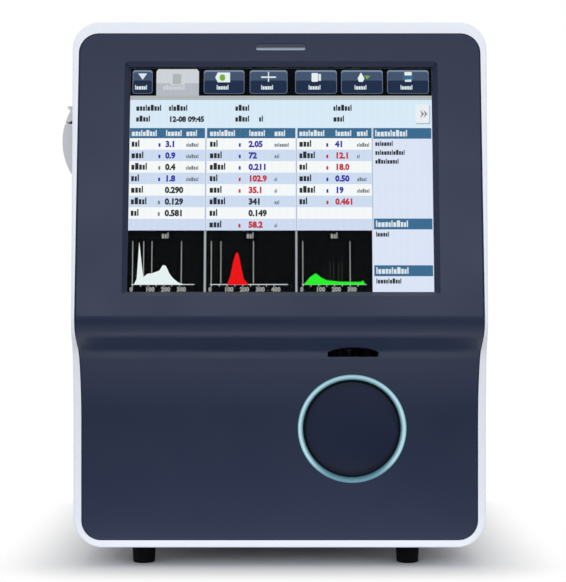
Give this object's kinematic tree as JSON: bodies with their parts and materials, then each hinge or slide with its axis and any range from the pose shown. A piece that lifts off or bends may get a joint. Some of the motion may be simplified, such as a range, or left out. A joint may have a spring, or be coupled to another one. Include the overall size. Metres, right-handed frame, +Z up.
{
  "type": "hematology analyzer",
  "caption": "Benchtop blood cell analyzer with a tilted touch screen, a rounded sampling nose with a probe opening, a round aspirate key, a side recorder and an opening service door.",
  "frame": {"origin": "on the table, on the housing's middle plane, midway between the front and rear feet", "axes": "-Y out of the screen towards the user, +X to the user's right, +Z up"},
  "size_m": [0.3116, 0.405, 0.395],
  "materials": {
    "white_shell": "satin moulded",
    "navy_panel": "fine satin",
    "screen_glass": "smooth",
    "display": "plain",
    "indicator": "translucent",
    "key_navy": "satin",
    "ring_blue": "translucent, lit",
    "black_plastic": "moulded",
    "grey_plastic": "moulded",
    "black_rubber": "matt",
    "sheet_steel": "zinc plated",
    "painted_sheet": "powder coat",
    "steel": "ground",
    "aluminium": "anodised",
    "motor_black": "satin",
    "clear_acrylic": "polished",
    "white_acetal": "machined",
    "belt_rubber": "moulded",
    "board_green": "lacquered",
    "hose": "clear silicone",
    "paper": "smooth"
  },
  "bodies": {
    "root": {"base_cover": "white_shell", "bath_bracket": "sheet_steel", "bath_cups": "clear_acrylic", "case_screws": "steel", "chassis_plate": "sheet_steel", "data_ports": "sheet_steel", "diaphragm_pumps": "motor_black", "display_bracket": "sheet_steel", "display_module": "display", "divider_plate": "sheet_steel", "door_magnet": "sheet_steel", "drive_belt": "belt_rubber", "drive_motor": "motor_black", "fan_housing": "black_plastic", "fluid_fittings": "white_acetal", "foot_screws": "steel", "front_frame": "white_shell", "front_panel": "navy_panel", "guide_rail": "steel", "hinge_pins": "steel", "indicator_lens": "indicator", "key_housing": "black_plastic", "key_light_ring": "ring_blue", "left_panel": "white_shell", "main_board": "board_green", "paper_roll": "paper", "power_inlet": "black_plastic", "power_supply": "sheet_steel", "rear_panel": "painted_sheet", "recorder_housing": "grey_plastic", "rubber_feet": "black_rubber", "solenoid_valves": "motor_black", "syringe_barrels": "clear_acrylic", "syringe_bracket": "sheet_steel", "syringe_motors": "motor_black", "top_cover": "white_shell", "touch_glass": "screen_glass", "tubing": "hose", "vacuum_chamber": "clear_acrylic", "valve_manifold": "clear_acrylic"},
    "key": {"aspirate_key": "key_navy"},
    "service_door": {"right_door": "white_shell"},
    "recorder_flap": {"recorder_door": "grey_plastic"},
    "platen": {"platen_roller": "black_rubber"},
    "release_lever": {"recorder_lever": "grey_plastic"},
    "rotor": {"fan_rotor": "black_plastic"},
    "rocker": {"power_switch": "black_plastic"},
    "sampling_carriage": {"carriage": "aluminium", "lift_motor": "motor_black", "guide_rods": "steel", "probe_wiper": "white_acetal"},
    "motor_pulley": {"drive_pulley": "aluminium"},
    "front_pulley": {"idler_pulley": "aluminium"},
    "arm": {"probe_arm": "white_acetal", "sample_probe": "steel"},
    "lead_screw": {"lift_screw": "steel"},
    "diluent_slider": {"diluent_plunger": "white_acetal"},
    "sample_slider": {"sample_plunger": "white_acetal"},
    "diluent_spindle": {"diluent_screw": "steel"},
    "sample_spindle": {"sample_screw": "steel"}
  },
  "joints": [
    {"name": "key_press", "type": "slide", "parent": "root", "child": "key", "axis": [0, 1, 0], "range_m": [0, 0.0025], "stiffness_N_per_m": 400},
    {"name": "door_swing", "type": "hinge", "parent": "root", "child": "service_door", "pos_m": [0.1455, 0.17, 0.2], "axis": [0, 0, 1], "range_deg": [0, 90]},
    {"name": "flap_swing", "type": "hinge", "parent": "root", "child": "recorder_flap", "pos_m": [-0.148, -0.103, 0.2855], "axis": [0, -1, 0], "range_deg": [0, 70]},
    {"name": "platen_turn", "type": "hinge", "parent": "recorder_flap", "child": "platen", "pos_m": [-0.148, -0.103, 0.318], "axis": [0, 1, 0], "continuous": true},
    {"name": "lever_lift", "type": "hinge", "parent": "root", "child": "release_lever", "pos_m": [-0.1475, -0.103, 0.333], "axis": [0, 1, 0], "range_deg": [0, 15], "stiffness_Nm_per_rad": 0.05},
    {"name": "rotor_turn", "type": "hinge", "parent": "root", "child": "rotor", "pos_m": [-0.075, 0.16, 0.25], "axis": [0, 1, 0], "continuous": true},
    {"name": "rocker_tilt", "type": "hinge", "parent": "root", "child": "rocker", "pos_m": [-0.11, 0.174, 0.076], "axis": [1, 0, 0], "range_deg": [0, 16]},
    {"name": "carriage_travel", "type": "slide", "parent": "root", "child": "sampling_carriage", "axis": [0, 1, 0], "range_m": [0, 0.13]},
    {"name": "motor_pulley_turn", "type": "hinge", "parent": "root", "child": "motor_pulley", "pos_m": [0.028, -0.012, 0.285], "axis": [1, 0, 0], "range_deg": [-10, 1180]},
    {"name": "front_pulley_turn", "type": "hinge", "parent": "root", "child": "front_pulley", "pos_m": [0.028, -0.175, 0.285], "axis": [1, 0, 0], "range_deg": [-10, 1180]},
    {"name": "probe_lift", "type": "slide", "parent": "sampling_carriage", "child": "arm", "axis": [0, 0, -1], "range_m": [0, 0.045]},
    {"name": "lead_screw_turn", "type": "hinge", "parent": "sampling_carriage", "child": "lead_screw", "pos_m": [0.047, -0.168, 0.23], "axis": [0, 0, 1], "range_deg": [-10, 2035]},
    {"name": "diluent_stroke", "type": "slide", "parent": "root", "child": "diluent_slider", "axis": [0, 0, -1], "range_m": [0, 0.04]},
    {"name": "diluent_spindle_turn", "type": "hinge", "parent": "root", "child": "diluent_spindle", "pos_m": [0.109, -0.128, 0.09], "axis": [0, 0, 1], "range_deg": [-10, 1810]},
    {"name": "sample_stroke", "type": "slide", "parent": "root", "child": "sample_slider", "axis": [0, 0, -1], "range_m": [0, 0.04]},
    {"name": "sample_spindle_turn", "type": "hinge", "parent": "root", "child": "sample_spindle", "pos_m": [0.109, -0.084, 0.09], "axis": [0, 0, 1], "range_deg": [-10, 1810]}
  ],
  "couplings": [
    {"joint": "motor_pulley_turn", "follows": "carriage_travel", "rad_per_m": 157.08},
    {"joint": "front_pulley_turn", "follows": "carriage_travel", "rad_per_m": 157.08},
    {"joint": "lead_screw_turn", "follows": "probe_lift", "rad_per_m": 785.4},
    {"joint": "diluent_spindle_turn", "follows": "diluent_stroke", "rad_per_m": 785.4},
    {"joint": "sample_spindle_turn", "follows": "sample_stroke", "rad_per_m": 785.4}
  ]
}
